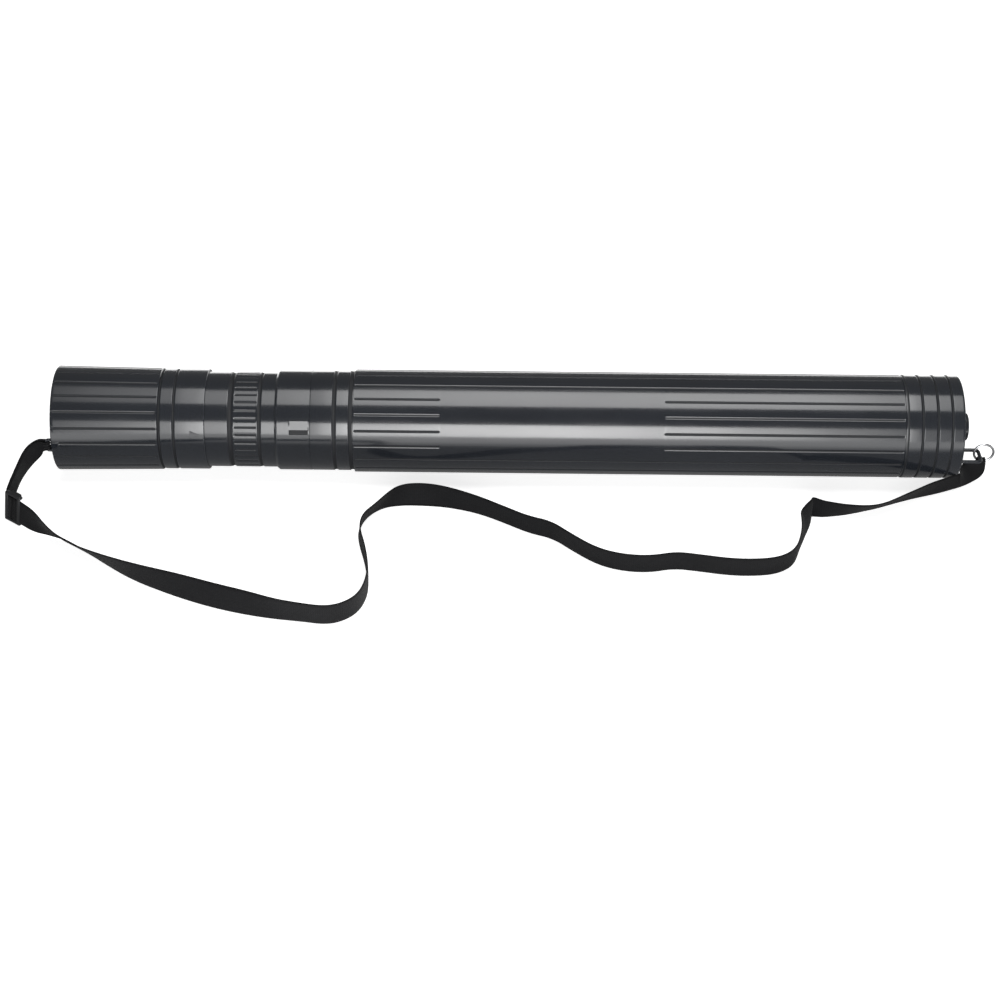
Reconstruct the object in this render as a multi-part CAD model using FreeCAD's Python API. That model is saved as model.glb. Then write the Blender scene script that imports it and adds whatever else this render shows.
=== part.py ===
import FreeCAD, Part
import math
import os

V = FreeCAD.Vector
centre_line = V(0, 0, 0), V(1, 0, 0)
up = V(0, 0, 1)

# Sizes are in millimetres and angles in degrees. The tube is drawn about the X axis, where x is the
# station: the distance from the lid's outer end face. It is then moved to its place on the ground.
# An angle round the tube is 0 at the front (-Y), 90 at the top (+Z) and 180 at the back.

# Walls and fits
end_wall = 2.5              # closed ends of the lid and the base cap
outer_wall = 1.9
inner_wall = 1.8
spigot_wall = 0.75          # collar inside the lock ring
tube_room = 1.2             # between the outer tube's bore and the inner tube
slide_clearance = 0.2       # inner tube in the collar, per side
turn_clearance = 0.1        # lock ring on the collar's spigot, per side
glue_gap = 0.05             # glued joints, per side
part_gap = 0.5              # gap between neighbouring rims
free_gap = 0.3              # between pieces that only pass each other

# Outer tube's radius, and how far the other outsides stand in or out from it
outer_radius = 42.5
band_inset = 1.2            # lock ring and collar
lid_band_inset = 1.1
lid_grip_inset = 0.5        # fluted grip where it meets the bands
lid_end_rise = 0.7          # fluted grip at the closed end
cap_rise = 0.25
tail_inset = 0.9            # outer tube inside the base cap

# Lengths along the tube
lid_grip_length = 87.0
lid_rim_length = 38.0       # lid's two bands, up to its mouth
lid_stop_length = 37.2      # ribs that stop the inner tube's mouth
neck_length = 58.5          # inner tube that shows between the lid and the lock ring, closed
lock_ring_length = 26.5
spigot_length = 8.6
collar_length = 34.3
tongue_length = 18.0        # collar inside the outer tube
lock_pitch = 52.0
lock_count = 9
flange_length = 4.0
rear_room = 4.7             # behind the inner tube, closed
cap_length = 47.9

# Flutes and grooves
flute_count = 20
flute_phase = 4.0
flute_depth = 0.6
flute_cutter_radius = 1.6
flute_margin = 1.1          # plain rim before and after the flutes
panel_angle = 31.0          # middle of the front label panel
panel_span = 90.0
panel_offset = 70.4         # from the outer tube's mouth
panel_length = 183.3
ring_groove_depth = 0.5
lid_groove_offsets = (0.2, 12.7)    # from the end of the grip
lid_groove_width = 3.2
collar_groove_offset = 19.7
collar_groove_width = 3.0
cap_groove_offset = 13.4
cap_groove_pitch = 12.0
cap_groove_count = 3
cap_groove_width = 2.2
edge_bevel = 1.2
rim_bevel = 0.4

# Lock
lug_offset = 14.0           # middle of the lugs from the lock ring's front edge
lug_length = 4.2
lug_span = 14.0
lug_angles = (124.0, -56.0)
lug_play = 1.0              # angle on each side of a lug in its channel
lock_groove_depth = 1.0
rib_groove_offset = 23.6    # second, plain groove of each pitch
rib_groove_width = 3.4
rib_groove_depth = 0.7
snap_height = 0.3
snap_length = 1.2
key_angles = (34.0, 214.0)
key_width = 4.0

# Raised marks
facet_angle = 27.0
facet_span = 10.5
facet_length = 16.5
facet_rise = 0.6
facet_sink = 0.3
pocket_span = 5.5
mark_angle = 15.3
mark_inset = 4.0            # tip from the lid's mouth
mark_length = 8.0
mark_width = 5.0
mark_rise = 0.6
stop_rib_count = 6
stop_rib_width = 2.0
stop_rib_depth = 2.1

# Base cap's boss and bail, lid's strap lug
boss_radius = 11.5
boss_height = 9.4
bail_y = -18.0
bail_drop = 17.0            # bar below the tube's axis
bail_reach = 21.0
bail_bar_radius = 1.5
bail_gap = 14.0
bail_foot = 3.0
lug_inset = 2.7             # bar from the lid's rim
lug_eye_reach = 5.0
lug_eye_radius = 1.25
lug_eye_gap = 8.5
lug_eye_foot = 1.5

# Strap hardware and webbing
wire_radius = 1.0
ring_radius = 8.0
ring_lean = 40.0            # the ring's middle from the bail's bar, as an angle above level
web_width = 20.0
web_thickness = 1.3
doubled_thickness = 2.7
gathered_width = 7.5        # webbing gathered in the lid's lug
loop_width = 9.0
loop_foot = 3.0             # bottom of the sewn end above the ground
ground_gap = 0.3
slider_length = 17.0
slider_rail = 2.7
slider_bar = 3.0
slider_bar_thickness = 1.4
slider_slack = 0.25
slider_place = 0.73         # place of the slider's middle along its straight run
corner_share = 0.45         # part of a run that the bend at its end takes

# Stations and radii that follow from the sizes
outer_bore = outer_radius - outer_wall
inner_radius = outer_bore - tube_room
inner_bore = inner_radius - inner_wall
tube_bore = inner_radius + slide_clearance
lid_bore = tube_bore + turn_clearance
spigot_radius = tube_bore + spigot_wall
tail_radius = outer_radius - tail_inset
cap_radius = outer_radius + cap_rise
band_radius = outer_radius - band_inset
lid_band_radius = outer_radius - lid_band_inset
lid_grip_radius = outer_radius - lid_grip_inset
lid_end_radius = outer_radius + lid_end_rise
lid_length = lid_grip_length + lid_rim_length
lock_ring_start = lid_length + neck_length
collar_start = lock_ring_start + lock_ring_length + part_gap
collar_end = collar_start + collar_length
outer_start = collar_end + part_gap
tongue_end = collar_end + tongue_length
travel = lock_pitch * lock_count
flange_start = tongue_end + part_gap + travel
inner_end = flange_start + flange_length
body_length = inner_end + rear_room + end_wall
cap_start = body_length - cap_length
outer_end = body_length - end_wall - free_gap
mouth_station = end_wall + lid_stop_length + free_gap
lug_station = lock_ring_start + lug_offset
overall_length = lug_eye_reach + body_length + bail_reach
lid_face = lug_eye_reach - overall_length / 2
base_face = lid_face + body_length
axis_height = lid_end_radius
bail_x, bail_z = base_face + bail_reach - bail_bar_radius, axis_height - bail_drop
ring_hang = ring_radius - wire_radius - bail_bar_radius - free_gap
ring_x = bail_x + ring_hang * math.cos(math.radians(ring_lean))
ring_z = bail_z + ring_hang * math.sin(math.radians(ring_lean))
loop_half = wire_radius + free_gap + web_thickness
slot_low = slider_rail + slider_slack
lug_eye_x, lug_eye_y = lid_face - lug_eye_reach + lug_eye_radius, lug_inset - lid_end_radius
gathered_low = axis_height - gathered_width / 2

# The strap's route over the ground, as the corners of its runs: from the ring to the slider's far side,
# and then on from there to the lid's lug.
long_route = [
    (ring_x, bail_y - loop_half), (ring_x, -37.0), (369.5, -48.0), (342.5, -46.0), (309.5, -51.0),
    (272.5, -69.0), (242.5, -72.0), (223.5, -130.0), (200.5, -150.0), (160.5, -149.0), (122.5, -140.0),
    (87.5, -148.0), (57.5, -133.0), (35.5, -104.0), (0.5, -93.0), (-34.5, -66.0), (-69.5, -59.0),
    (-104.5, -56.0), (-122.5, -78.0), (-122.5, -120.0), (-115.5, -168.0), (-122.5, -203.0),
    (-149.5, -217.0), (-194.5, -208.0), (-249.5, -191.0), (-300.5, -163.0), (-342.0, -140.5),
    (-368.0, -122.0),
]
slider_corner = (-419.5, -77.3)
lug_route = [(-411.0, -60.0), (-398.0, -41.0), (lug_eye_x, lug_eye_y)]
ramp_start, ramp_end = -330.0, -362.0       # along X, the long run climbs to the slider's slot
climb = [(-79.5, 0.0), (-46.0, 19.0), (-38.0, 27.5)]    # along Y, rise of the doubled stretch to the lug
gather_start, gather_end = -402.0, -386.5   # along X, the doubled stretch narrows to the lug


def turned(outline, angle=360):
    """Solid of revolution about the centre line, from a closed (station, radius) outline."""
    points = [V(station, 0, radius) for station, radius in outline]
    face = Part.Face(Part.makePolygon(points + points[:1]))
    return face.revolve(*centre_line, angle)


def at_angle(shape, angle):
    """Turns a shape drawn at the top of the tube to an angle round it."""
    return shape.rotated(*centre_line, 90 - angle)


def sleeve(start, end, low, high):
    return turned([(start, low), (start, high), (end, high), (end, low)])


def sector(start, end, low, high, angle, span):
    piece = turned([(start, low), (start, high), (end, high), (end, low)], span)
    return at_angle(piece, angle + span / 2)


def ring_grooves(centres, width, radius, depth):
    room = 2 * depth
    return [sleeve(c - width / 2, c + width / 2, radius - depth, radius + room) for c in centres]


def flute(start, end, start_radius, end_radius, angle):
    lift = flute_cutter_radius - flute_depth
    low, high = V(start, 0, start_radius + lift), V(end, 0, end_radius + lift)
    cutter = Part.makeCylinder(flute_cutter_radius, (high - low).Length, low, high - low)
    return at_angle(cutter, angle)


def flute_angles():
    return [flute_phase + 360 * k / flute_count for k in range(flute_count)]


def under_panel(angle):
    apart = (angle - panel_angle + 90) % 180 - 90
    return abs(apart) < panel_span / 2 - 1


def box(x_low, x_high, y_low, y_high, z_low, z_high):
    return Part.makeBox(x_high - x_low, y_high - y_low, z_high - z_low, V(x_low, y_low, z_low))


def joined(first, others):
    return first.fuse(others).removeSplitter()


def make_outer_tube():
    shoulder = cap_start - part_gap
    tube = turned([
        (outer_start, outer_bore), (outer_start, outer_radius - rim_bevel),
        (outer_start + rim_bevel, outer_radius), (shoulder, outer_radius), (shoulder, tail_radius),
        (outer_end, tail_radius), (outer_end, outer_bore),
    ])
    first, last = outer_start + flute_margin, shoulder - flute_margin
    panel_first = outer_start + panel_offset
    panel_last = panel_first + panel_length
    cutters = []
    for angle in flute_angles():
        spans = [(first, panel_first), (panel_last, last)] if under_panel(angle) else [(first, last)]
        cutters += [flute(start, end, outer_radius, outer_radius, angle) for start, end in spans]
    half, low = key_width / 2, inner_radius + free_gap
    key = box(tongue_end + part_gap, outer_end, -half, half, low, outer_bore + glue_gap)
    return joined(tube.cut(cutters), [at_angle(key, angle) for angle in key_angles])


def make_base_cap():
    bore = tail_radius + glue_gap
    outside = turned([
        (cap_start, 0), (cap_start, cap_radius - rim_bevel), (cap_start + rim_bevel, cap_radius),
        (body_length - edge_bevel, cap_radius), (body_length, cap_radius - edge_bevel), (body_length, 0),
    ])
    hollow = sleeve(cap_start, body_length - end_wall, 0, bore)
    centres = [cap_start + cap_groove_offset + cap_groove_pitch * k for k in range(cap_groove_count)]
    cap = outside.cut([hollow] + ring_grooves(centres, cap_groove_width, cap_radius, ring_groove_depth))
    top = body_length + boss_height
    boss = turned([(body_length - end_wall / 2, 0), (body_length - end_wall / 2, boss_radius),
                   (top - edge_bevel, boss_radius), (top, boss_radius - edge_bevel), (top, 0)])
    return joined(cap, [boss] + bail())


def bail():
    reach = body_length + bail_reach
    z = -bail_drop
    half = bail_gap / 2
    low_end = V(reach - bail_bar_radius, bail_y - half - bail_foot / 2, z)
    bar = Part.makeCylinder(bail_bar_radius, bail_gap + bail_foot, low_end, V(0, 1, 0))
    feet = []
    for low in (bail_y - half - bail_foot, bail_y + half):
        feet.append(box(body_length - end_wall / 2, reach, low, low + bail_foot,
                        z - bail_bar_radius, z + bail_bar_radius))
    return [bar] + feet


def make_front_collar():
    bead = spigot_radius + snap_height
    spigot_start = collar_start - spigot_length
    tongue_radius = outer_bore - glue_gap
    outline = [
        (spigot_start, tube_bore), (spigot_start, bead), (spigot_start + snap_length, bead),
        (spigot_start + snap_length, spigot_radius), (collar_start, spigot_radius),
        (collar_start, band_radius - rim_bevel), (collar_start + rim_bevel, band_radius),
        (collar_end - rim_bevel, band_radius), (collar_end, band_radius - rim_bevel),
        (collar_end, tongue_radius), (tongue_end, tongue_radius), (tongue_end, tube_bore),
    ]
    centres = [collar_start + collar_groove_offset]
    return turned(outline).cut(ring_grooves(centres, collar_groove_width, band_radius, ring_groove_depth))


def make_lock_ring():
    end = lock_ring_start + lock_ring_length
    seat = spigot_radius + turn_clearance
    seat_start = collar_start - spigot_length - free_gap
    snap_end = seat_start + snap_length + 2 * free_gap
    snap_seat = seat + snap_height
    outline = [
        (lock_ring_start, tube_bore), (lock_ring_start, band_radius - rim_bevel),
        (lock_ring_start + rim_bevel, band_radius), (end - rim_bevel, band_radius),
        (end, band_radius - rim_bevel), (end, seat), (snap_end, seat), (snap_end, snap_seat),
        (seat_start, snap_seat), (seat_start, tube_bore),
    ]
    tip = inner_radius - lock_groove_depth + slide_clearance
    lug_start, lug_end = lug_station - lug_length / 2, lug_station + lug_length / 2
    lugs = [sector(lug_start, lug_end, tip, tube_bore + glue_gap, angle, lug_span) for angle in lug_angles]
    top = facet_angle + facet_span / 2
    bottom = facet_angle - facet_span / 2
    start = end - facet_length
    flat = [spot(bottom, band_radius - facet_sink), spot(top, band_radius + facet_rise),
            spot(top, band_radius - facet_sink), spot(facet_angle, band_radius - facet_sink)]
    facet = Part.Face(Part.makePolygon(flat + flat[:1])).extrude(V(facet_length, 0, 0))
    facet.translate(V(start, 0, 0))
    pocket = sector(start, end, band_radius - facet_sink, band_radius + facet_rise,
                    bottom - pocket_span / 2, pocket_span)
    return joined(turned(outline).cut(pocket), lugs + [facet])


def spot(angle, radius):
    """Point of the tube's cross-section at station 0."""
    a = math.radians(angle)
    return V(0, -radius * math.cos(a), radius * math.sin(a))


def make_inner_tube():
    flange_radius = outer_bore - slide_clearance
    tube = turned([
        (mouth_station, inner_bore), (mouth_station, inner_radius - rim_bevel),
        (mouth_station + rim_bevel, inner_radius), (flange_start, inner_radius),
        (flange_start, flange_radius), (inner_end, flange_radius), (inner_end, inner_bore),
    ])
    lock_centres = [lug_station + lock_pitch * k for k in range(-1, lock_count + 1)]
    rib_centres = [station + rib_groove_offset for station in lock_centres]
    cutters = ring_grooves(lock_centres, lug_length + 2 * free_gap, inner_radius, lock_groove_depth)
    cutters += ring_grooves(rib_centres, rib_groove_width, inner_radius, rib_groove_depth)
    deep = inner_radius - lock_groove_depth
    channel_span = lug_span + 2 * lug_play
    for angle in lug_angles:
        cutters.append(sector(mouth_station - part_gap, flange_start, deep, outer_bore, angle, channel_span))
    half = key_width / 2 + free_gap
    notch = box(flange_start - part_gap, inner_end + part_gap, -half, half, inner_radius, outer_radius)
    cutters += [at_angle(notch, angle) for angle in key_angles]
    return tube.cut(cutters)


def make_lid():
    hollow_radius = lid_bore + free_gap
    grip_end = lid_grip_length
    outside = turned([
        (0, 0), (0, lid_end_radius - edge_bevel), (edge_bevel, lid_end_radius), (grip_end, lid_grip_radius),
        (grip_end, lid_band_radius), (lid_length - edge_bevel, lid_band_radius),
        (lid_length, lid_band_radius - edge_bevel), (lid_length, 0),
    ])
    inside = turned([(end_wall, 0), (end_wall, hollow_radius), (grip_end, hollow_radius),
                     (grip_end + edge_bevel, lid_bore), (lid_length, lid_bore), (lid_length, 0)])
    centres = [grip_end + offset for offset in lid_groove_offsets]
    cutters = [inside] + ring_grooves(centres, lid_groove_width, lid_band_radius, ring_groove_depth)
    slope = (lid_grip_radius - lid_end_radius) / grip_end
    for angle in flute_angles():
        reach = -flute_margin
        cutters.append(flute(reach, grip_end, lid_end_radius + slope * reach, lid_grip_radius, angle))
    rib = box(end_wall / 2, end_wall + lid_stop_length, -stop_rib_width / 2, stop_rib_width / 2,
              hollow_radius - stop_rib_depth, hollow_radius + glue_gap)
    ribs = [at_angle(rib, 360 * k / stop_rib_count) for k in range(stop_rib_count)]
    return joined(outside.cut(cutters), ribs + strap_lug() + [index_mark()])


def strap_lug():
    half = lug_eye_gap / 2
    bar_x = lug_eye_radius - lug_eye_reach
    bar = Part.makeCylinder(lug_eye_radius, lug_eye_gap + lug_eye_foot,
                            V(bar_x, lug_eye_y, -half - lug_eye_foot / 2), up)
    feet = []
    for low in (-half - lug_eye_foot, half):
        feet.append(box(-lug_eye_reach, end_wall / 2, lug_eye_y - lug_eye_radius, lug_eye_y + lug_eye_radius,
                        low, low + lug_eye_foot))
    return [bar] + feet


def index_mark():
    low = lid_band_radius - rim_bevel
    tip, half = lid_length - mark_inset, mark_width / 2
    corners = [V(tip - mark_length, -half, low), V(tip - mark_length, half, low), V(tip, 0, low)]
    arrow = Part.Face(Part.makePolygon(corners + corners[:1])).extrude(V(0, 0, rim_bevel + mark_rise))
    return at_angle(arrow, mark_angle)


def make_strap_ring():
    return Part.makeTorus(ring_radius, wire_radius, V(ring_x, bail_y, ring_z), V(0, 1, 0))


def make_strap_end_loop():
    wire_z = ring_z - ring_radius
    reach = wire_radius + free_gap
    left = ring_x - loop_width / 2
    outside = Part.makeCylinder(loop_half, loop_width, V(left, bail_y, wire_z), V(1, 0, 0))
    legs = box(left, left + loop_width, bail_y - loop_half, bail_y + loop_half, loop_foot, wire_z)
    eye = Part.makeTorus(ring_radius, reach, V(ring_x, bail_y, ring_z), V(0, 1, 0))
    return joined(outside, [legs]).cut(eye)


def heading(start, end):
    return (V(*end) - V(*start)).normalize()


def left_of(direction):
    return V(-direction.y, direction.x, 0)


def bends(route):
    """Tangent arc at each inner corner of a route: corner, ends, centre, radius and side."""
    found = []
    for before, corner, after in zip(route, route[1:], route[2:]):
        way_in, way_out = heading(before, corner), heading(corner, after)
        taken = corner_share * min(math.dist(before, corner), math.dist(corner, after))
        radius = taken / math.tan(way_in.getAngle(way_out) / 2)
        side = math.copysign(1, way_in.cross(way_out).z)
        start = V(*corner) - way_in * taken
        centre = start + left_of(way_in) * side * radius
        found.append((V(*corner), start, V(*corner) + way_out * taken, centre, radius, side))
    return found


def side_edges(route, offset):
    """Edges of one side of a ribbon: the route's runs and arcs, moved to the left by an offset."""
    edges = []
    here = V(*route[0]) + left_of(heading(route[0], route[1])) * offset
    for corner, start, end, centre, radius, side in bends(route):
        share = (radius - side * offset) / radius
        first, last = centre + (start - centre) * share, centre + (end - centre) * share
        middle = centre + (corner - centre).normalize() * (radius - side * offset)
        edges += [Part.LineSegment(here, first).toShape(), Part.Arc(first, middle, last).toShape()]
        here = last
    end = V(*route[-1]) + left_of(heading(route[-2], route[-1])) * offset
    return edges + [Part.LineSegment(here, end).toShape()]


def standing_ribbon(route, thickness, height):
    left, right = side_edges(route, thickness / 2), side_edges(route, -thickness / 2)
    caps = [Part.LineSegment(left[end].Vertexes[end].Point, right[end].Vertexes[end].Point).toShape()
            for end in (0, -1)]
    outline = Part.Wire(Part.__sortEdges__(left + right + caps))
    return Part.Face(outline).extrude(V(0, 0, height))


def route_length(route):
    return sum(edge.Length for edge in side_edges(route, 0))


def band(corners, sweep):
    """Room between a lower edge line and the same line a web's width higher, swept sideways."""
    low = [V(*corner) for corner in corners]
    high = [corner + up * web_width for corner in reversed(low)]
    face = Part.Face(Part.makePolygon(low + high + low[:1]))
    return face.extrude(sweep)


def along_run(share):
    start, end = V(*long_route[-1]), V(*slider_corner)
    return start + (end - start) * share


def slider_join():
    """Where the single and the doubled webbing meet, at the near end of the slider's straight run."""
    run = math.dist(long_route[-1], slider_corner)
    last = math.dist(long_route[-2], long_route[-1])
    return along_run(corner_share * last / run)


def make_strap_webbing():
    join = slider_join()
    route = long_route + [(join.x, join.y)]
    far_x, far_y = lid_face * 2, lid_face
    room = band([(base_face - far_x, far_y, ground_gap), (ramp_start, far_y, ground_gap),
                 (ramp_end, far_y, slot_low), (far_x, far_y, slot_low)], V(0, -2 * far_y, 0))
    ribbon = standing_ribbon(route, web_thickness, body_length).common(room)
    length = route_length(route)
    print(f"strap_webbing: length {length:.0f}, volume over section times length "
          f"{ribbon.Volume / (web_thickness * web_width * length):.4f}")
    print("radii:", " ".join(f"{bend[4]:.0f}" for bend in bends(long_route + [slider_corner])))
    return ribbon


def make_strap_slider_loop():
    join = slider_join()
    route = [(join.x, join.y), slider_corner] + lug_route
    far = 2 * lid_face
    rise = [(far, y, slot_low + z) for y, z in [(lid_face, 0)] + climb]
    room = band(rise, V(2 * body_length, 0, 0))
    ribbon = standing_ribbon(route, doubled_thickness, body_length).common([room]).cut(beside_gathers())
    bar = V(*lug_route[-1], gathered_low)
    eye = Part.makeCylinder(lug_eye_radius + free_gap, body_length, bar - up * body_length / 2)
    turn = Part.makeCylinder(lug_eye_radius + free_gap + web_thickness, gathered_width, bar)
    print(f"strap_slider_loop: length {route_length(route):.0f}")
    print("radii:", " ".join(f"{bend[4]:.0f}" for bend in bends(route)))
    return joined(ribbon, [turn]).cut(eye)


def beside_gathers():
    """Rooms below and above the doubled stretch as it narrows along X to the lid's lug."""
    far, low, high = slider_corner[1], gathered_low, gathered_low + gathered_width
    below = [(gather_start, 0), (gather_end, low), (0, low), (0, 0)]
    above = [(gather_start, body_length), (gather_start, high), (0, high), (0, body_length)]
    rooms = []
    for outline in (below, above):
        corners = [V(x, far, z) for x, z in outline]
        rooms.append(Part.Face(Part.makePolygon(corners + corners[:1])).extrude(V(0, -far, 0)))
    return rooms


def make_strap_slider():
    half = slider_length / 2
    gap = doubled_thickness / 2 + slider_slack
    deep = gap + slider_bar_thickness
    slot_high = slot_low + web_width + slider_slack
    top = slot_high + slider_rail
    rails = [box(-half, half, -deep, deep, low, low + slider_rail) for low in (0, slot_high)]
    middle = box(-slider_bar / 2, slider_bar / 2, -deep, -gap, 0, top)
    ends = [box(low, low + slider_bar, gap, deep, 0, top) for low in (-half, half - slider_bar)]
    slider = joined(rails[0], rails[1:] + [middle] + ends)
    way = heading(long_route[-1], slider_corner)
    slider.rotate(V(0, 0, 0), up, math.degrees(math.atan2(way.y, way.x)))
    slider.translate(along_run(slider_place))
    return slider


tube_makers = {
    "outer_tube": make_outer_tube,
    "base_cap": make_base_cap,
    "front_collar": make_front_collar,
    "lock_ring": make_lock_ring,
    "inner_tube": make_inner_tube,
    "lid": make_lid,
}
strap_makers = {
    "strap_ring": make_strap_ring,
    "strap_end_loop": make_strap_end_loop,
    "strap_webbing": make_strap_webbing,
    "strap_slider_loop": make_strap_slider_loop,
    "strap_slider": make_strap_slider,
}

os.makedirs("parts", exist_ok=True)
for node, maker in tube_makers.items():
    shape = maker()
    shape.translate(V(lid_face, 0, axis_height))
    shape.exportStep(f"parts/{node}.step")
for node, maker in strap_makers.items():
    maker().exportStep(f"parts/{node}.step")
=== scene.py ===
import math

import bmesh
import bpy
import numpy as np
from mathutils import Matrix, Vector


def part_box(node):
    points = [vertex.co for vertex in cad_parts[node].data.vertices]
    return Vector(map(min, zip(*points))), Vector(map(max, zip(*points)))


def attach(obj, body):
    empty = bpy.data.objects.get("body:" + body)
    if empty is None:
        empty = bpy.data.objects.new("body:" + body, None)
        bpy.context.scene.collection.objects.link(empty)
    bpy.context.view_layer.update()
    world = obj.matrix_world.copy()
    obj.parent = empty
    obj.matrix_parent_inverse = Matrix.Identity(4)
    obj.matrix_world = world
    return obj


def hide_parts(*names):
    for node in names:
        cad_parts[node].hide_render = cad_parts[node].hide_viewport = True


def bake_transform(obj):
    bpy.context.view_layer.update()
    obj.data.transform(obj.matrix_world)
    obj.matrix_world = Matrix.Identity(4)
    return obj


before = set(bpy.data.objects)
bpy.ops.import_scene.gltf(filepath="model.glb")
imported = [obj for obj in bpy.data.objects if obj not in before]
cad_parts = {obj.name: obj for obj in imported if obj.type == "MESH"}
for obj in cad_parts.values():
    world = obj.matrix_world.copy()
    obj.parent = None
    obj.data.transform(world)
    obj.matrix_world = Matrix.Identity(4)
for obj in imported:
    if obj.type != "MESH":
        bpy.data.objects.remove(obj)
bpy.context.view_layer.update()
scene = bpy.context.scene
mm = 0.001
print("stage: frame loaded")


cameraView = {
    "place": (-0.01365, -1.4591, 1.0272),
    "pitchDown": 36.107,
    "roll": 0.6,
    "lens": 76.32,
    "sensor": 36.0,
    "farthest": 50.0,
}


def addCamera():
    camera = bpy.data.objects.new("camera", bpy.data.cameras.new("camera"))
    camera.data.lens = cameraView["lens"]
    camera.data.sensor_width = cameraView["sensor"]
    camera.data.clip_end = cameraView["farthest"]
    tilt = Matrix.Rotation(math.radians(90 - cameraView["pitchDown"]), 4, "X")
    roll = Matrix.Rotation(math.radians(cameraView["roll"]), 4, "Z")
    camera.matrix_world = Matrix.Translation(cameraView["place"]) @ tilt @ roll
    scene.collection.objects.link(camera)
    scene.camera = camera


addCamera()
scene.view_settings.view_transform = "Standard"
print("stage: camera set")


def smoothStep(value):
    t = np.clip(value, 0.0, 1.0)
    return t * t * (3 - 2 * t)


def addPiece(name, points, faces, uv=None, wear=None, hollow=None, sharp=38.0, weld=True):
    mesh = bpy.data.meshes.new(name)
    mesh.from_pydata(np.asarray(points, float).tolist(), [], [tuple(f) for f in faces])
    if uv is not None:
        layer = mesh.uv_layers.new(name="web")
        corners = np.zeros(len(mesh.loops), int)
        mesh.loops.foreach_get("vertex_index", corners)
        layer.data.foreach_set("uv", np.asarray(uv, float)[corners].ravel())
    for key, values in (("wear", wear), ("hollow", hollow)):
        if values is None:
            values = np.zeros(len(mesh.vertices))
        mark = mesh.attributes.new(key, "FLOAT", "POINT")
        mark.data.foreach_set("value", np.asarray(values, float))
    shape = bmesh.new()
    shape.from_mesh(mesh)
    if weld:
        bmesh.ops.remove_doubles(shape, verts=shape.verts, dist=1e-6)
    bmesh.ops.recalc_face_normals(shape, faces=shape.faces)
    shape.to_mesh(mesh)
    shape.free()
    mesh.shade_smooth()
    mesh.set_sharp_from_angle(angle=math.radians(sharp))
    piece = bpy.data.objects.new(name, mesh)
    scene.collection.objects.link(piece)
    return piece


def gridFaces(rows, columns, closeRows, closeColumns):
    faces = []
    for i in range(rows if closeRows else rows - 1):
        low, high = i * columns, ((i + 1) % rows) * columns
        for j in range(columns if closeColumns else columns - 1):
            k = (j + 1) % columns
            faces.append((low + j, low + k, high + k, high + j))
    return faces


def placePiece(piece, body, slotName, material, *nodes):
    piece.data.materials.append(material)
    if body:
        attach(piece, body)
    if nodes:
        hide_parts(*nodes)
    return piece


class Signal:
    # wraps a node's output socket, so that node maths reads as plain arithmetic
    def __init__(self, tree, socket):
        self.tree = tree
        self.socket = socket

    @staticmethod
    def plug(tree, socket, value):
        if isinstance(value, Signal):
            tree.links.new(value.socket, socket)
        elif hasattr(value, "__len__") and len(value) == 3 and socket.type == "RGBA":
            socket.default_value = (*value, 1.0)
        else:
            socket.default_value = value

    def node(self, kind, inputs, output=0, **settings):
        made = self.tree.nodes.new(kind)
        for key, value in settings.items():
            setattr(made, key, value)
        for key, value in inputs.items():
            Signal.plug(self.tree, made.inputs[key], value)
        return Signal(self.tree, made.outputs[output])

    def isWide(self):
        return self.socket.type in ("VECTOR", "RGBA")

    def maths(self, operation, first, second):
        wide = any(isinstance(v, Signal) and v.isWide() or hasattr(v, "__len__") for v in (first, second))
        if not wide:
            return self.node("ShaderNodeMath", {0: first, 1: second}, operation=operation)
        spread = [(v, v, v) if isinstance(v, (int, float)) else v for v in (first, second)]
        return self.node("ShaderNodeVectorMath", {0: spread[0], 1: spread[1]}, operation=operation)

    def __add__(self, other):
        return self.maths("ADD", self, other)

    def __radd__(self, other):
        return self.maths("ADD", other, self)

    def __sub__(self, other):
        return self.maths("SUBTRACT", self, other)

    def __rsub__(self, other):
        return self.maths("SUBTRACT", other, self)

    def __mul__(self, other):
        return self.maths("MULTIPLY", self, other)

    def __rmul__(self, other):
        return self.maths("MULTIPLY", other, self)

    def __truediv__(self, other):
        return self.maths("DIVIDE", self, other)

    def __rtruediv__(self, other):
        return self.maths("DIVIDE", other, self)

    def __pow__(self, other):
        return self.maths("POWER", self, other)

    def __mod__(self, other):
        return self.maths("FLOORED_MODULO", self, other)

    def __abs__(self):
        return self.only("ABSOLUTE")

    def only(self, operation):
        return self.node("ShaderNodeMath", {0: self}, operation=operation)

    def clamped(self):
        return self.node("ShaderNodeClamp", {0: self})

    def part(self, index):
        return self.node("ShaderNodeSeparateXYZ", {0: self}, output=index)

    def noise(self, scale, detail=3.0, rough=0.55):
        inputs = {"Vector": self, "Scale": scale, "Detail": detail, "Roughness": rough}
        return self.node("ShaderNodeTexNoise", inputs)

    def fit(self, low, high, newLow, newHigh):
        return self.node("ShaderNodeMapRange", {0: self, 1: low, 2: high, 3: newLow, 4: newHigh})

    def tint(self, first, second):
        return self.node("ShaderNodeMix", {0: self, 6: first, 7: second}, output=2, data_type="RGBA")

    def bump(self, distance, strength=1.0, over=None):
        inputs = {"Height": self, "Distance": distance, "Strength": strength}
        if over is not None:
            inputs["Normal"] = over
        return self.node("ShaderNodeBump", inputs)


def newMaterial(name, uniform):
    # uniform holds what is the same all over the surface, set on the shader's own sockets
    material = bpy.data.materials.new(name)
    material.use_nodes = True
    tree = material.node_tree
    shader = tree.nodes["Principled BSDF"]
    for key, value in uniform.items():
        Signal.plug(tree, shader.inputs[key], value)
    place = Signal(tree, tree.nodes.new("ShaderNodeTexCoord").outputs["Object"])
    return material, tree, shader, place


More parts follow.
